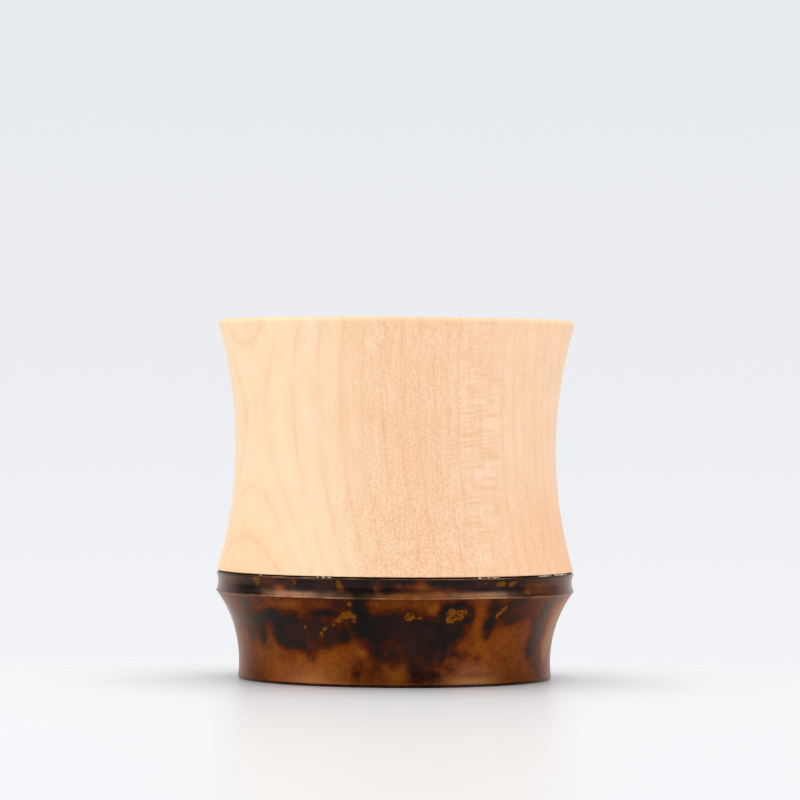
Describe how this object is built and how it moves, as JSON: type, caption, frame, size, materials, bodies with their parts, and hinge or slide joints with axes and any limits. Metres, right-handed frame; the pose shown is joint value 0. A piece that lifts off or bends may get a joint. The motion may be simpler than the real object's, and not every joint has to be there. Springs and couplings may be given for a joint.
{
  "type": "sake cup",
  "caption": "Small waisted drinking cup: a turned maple bowl bonded by its spigot into a socketed, patinated brass base with a ridged collar and a foot ring.",
  "frame": {"origin": "centre of the foot ring, on the surface that the cup stands on", "axes": "+Z is the turning axis, from the foot to the rim; X and Y are equal"},
  "size_m": [0.055, 0.055, 0.055],
  "materials": {
    "maple": "fine-sanded, clear satin food-safe coat",
    "patinated_brass": "mottled brown and black heat patina with bare flecks, under a clear gloss coat",
    "cured_epoxy": "cured, slightly cloudy"
  },
  "bodies": {
    "root": {"maple_cup": "maple", "brass_base": "patinated_brass", "adhesive_bond": "cured_epoxy"}
  },
  "joints": []
}
